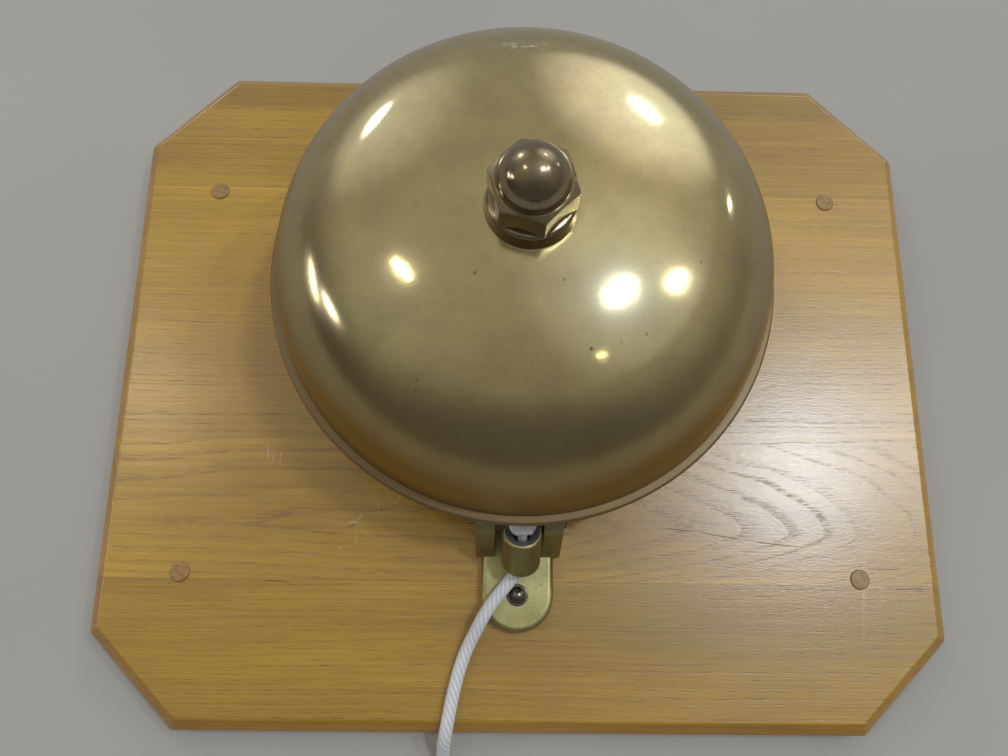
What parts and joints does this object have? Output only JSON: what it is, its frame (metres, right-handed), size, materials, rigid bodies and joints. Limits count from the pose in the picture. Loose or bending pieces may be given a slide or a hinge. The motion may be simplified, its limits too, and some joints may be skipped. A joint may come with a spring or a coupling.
{
  "type": "trolley bell",
  "caption": "Rope-pulled trolley gong of aged brass on an oak board, with a cast bracket, a hinged lever and a hidden hammer.",
  "frame": {"origin": "middle of the board's back face, on the surface that the board lies on", "axes": "+Z out of the board's face, towards the gong; +Y to the board's top edge, across its grain; +X to its right edge"},
  "size_m": [0.457, 0.5039, 0.1919],
  "materials": {
    "oak": "satin varnish",
    "plug_wood": "satin varnish",
    "bracket_brass": "worn, pale",
    "gong_brass": "aged satin",
    "lever_brass": "aged, darker",
    "bronze": "polished, browned",
    "dark_steel": "blackened",
    "spring_steel": "bright drawn",
    "leather": "matte",
    "rope": "braided"
  },
  "bodies": {
    "bell": {"oak_strip_1": "oak", "oak_strip_2": "oak", "oak_strip_3": "oak", "oak_strip_4": "oak", "oak_strip_5": "oak", "hole_plugs": "plug_wood", "bracket_base": "bracket_brass", "bracket_bolts": "dark_steel", "bolt_washers": "dark_steel", "bolt_nuts": "dark_steel", "gong_post": "bracket_brass", "cushion_washer": "leather", "gong": "gong_brass", "crown_collar": "gong_brass", "acorn_nut": "bronze", "pivot_pin": "dark_steel", "split_pin": "dark_steel", "rest_pad": "leather", "return_spring": "spring_steel", "pull_rope": "rope", "rope_coil": "rope", "coil_tie": "rope", "rope_end_knot": "rope"},
    "lever": {"trip_lever": "lever_brass", "hammer_arm": "dark_steel", "hammer_nuts": "dark_steel", "hammer_head": "dark_steel", "rope_knot": "rope"}
  },
  "joints": [
    {"name": "lever_pivot", "type": "hinge", "parent": "bell", "child": "lever", "pos_m": [-0.0028, -0.081, 0.046], "axis": [1, 0, 0], "range_deg": [0, 10], "stiffness_Nm_per_rad": 0.2, "springref_deg": -28.65, "deforming": ["return_spring", "pull_rope"]}
  ]
}
